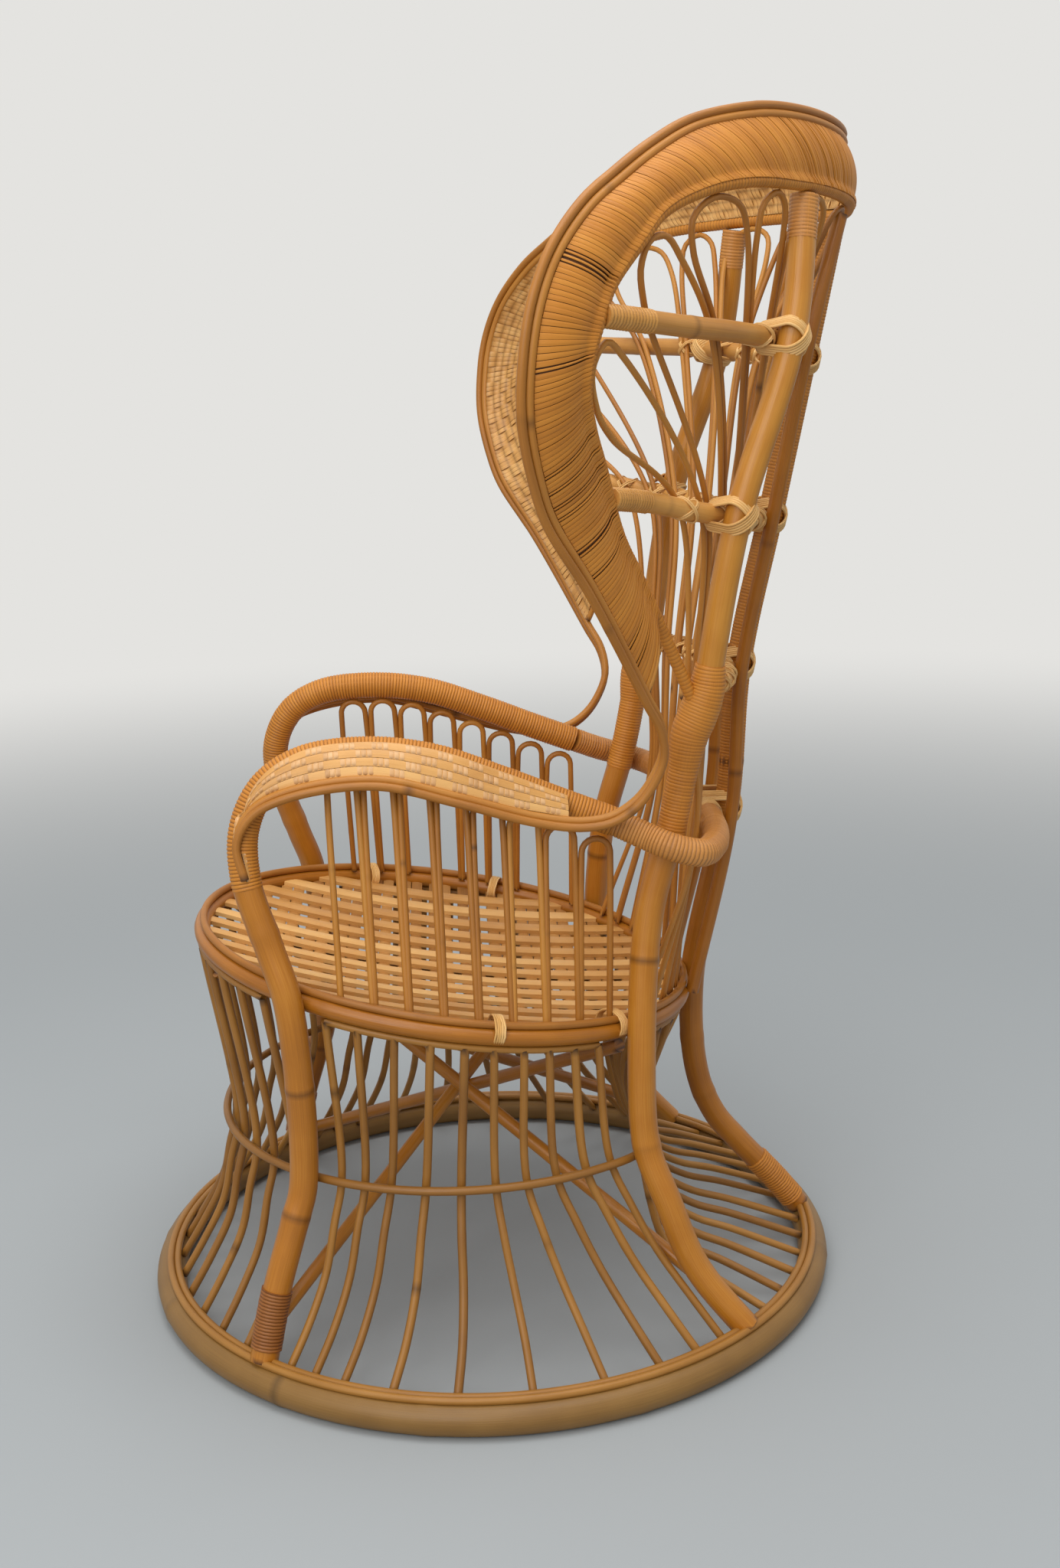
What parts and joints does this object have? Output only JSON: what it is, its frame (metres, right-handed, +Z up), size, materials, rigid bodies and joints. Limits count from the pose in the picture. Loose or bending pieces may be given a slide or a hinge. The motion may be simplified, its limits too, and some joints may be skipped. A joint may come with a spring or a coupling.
{
  "type": "hooded wicker armchair",
  "caption": "Armchair of bent cane poles on a round floor ring: slatted round seat, flared cane skirt, hairpin arms and a tall fan back under a woven wrap-round hood band.",
  "frame": {"origin": "middle of the bounding box's underside, on the floor", "axes": "+Z up, the chair faces -Y, the sitter's left is +X"},
  "size_m": [0.8412, 0.826, 1.2764],
  "materials": {
    "pole": "varnished rattan pole",
    "dark_wrap": "dark wrapped cane peel",
    "cane": "varnished split cane",
    "weave": "woven cane peel, satin",
    "lashing": "pale cane peel binding"
  },
  "bodies": {
    "root": {"floor_ring": "pole", "seat_ring": "pole", "rear_leg_left": "pole", "rear_leg_right": "pole", "front_leg_left": "pole", "front_leg_right": "pole", "hood_pole": "pole", "centre_post": "pole", "upper_post_left": "pole", "upper_post_right": "pole", "inner_post_left": "pole", "inner_post_right": "pole", "arm_rail": "pole", "low_rib": "pole", "mid_rib": "pole", "top_rib": "pole", "brace_front_left": "pole", "brace_front_right": "pole", "brace_rear_left": "pole", "brace_rear_right": "pole", "foot_wrap_front_left": "dark_wrap", "foot_wrap_front_right": "dark_wrap", "floor_bead_outer": "cane", "floor_bead_inner": "cane", "seat_bead": "cane", "waist_ring": "cane", "rim_cane_outer": "cane", "rim_cane_inner": "cane", "skirt_front": "cane", "skirt_side_left": "cane", "skirt_side_right": "cane", "skirt_rear_left": "cane", "skirt_rear_right": "cane", "arm_gallery_left": "cane", "arm_gallery_right": "cane", "back_fan_left": "cane", "back_fan_right": "cane", "back_fan_middle": "cane", "hood_band": "weave", "arm_band_left": "weave", "arm_band_right": "weave", "seat_slats": "weave", "seat_cross_canes": "weave", "lash_rail": "lashing", "lash_low": "lashing", "lash_mid": "lashing", "lash_top": "lashing", "lash_side_mid_left": "lashing", "lash_side_mid_right": "lashing", "lash_side_top_left": "lashing", "lash_side_top_right": "lashing"}
  },
  "joints": []
}
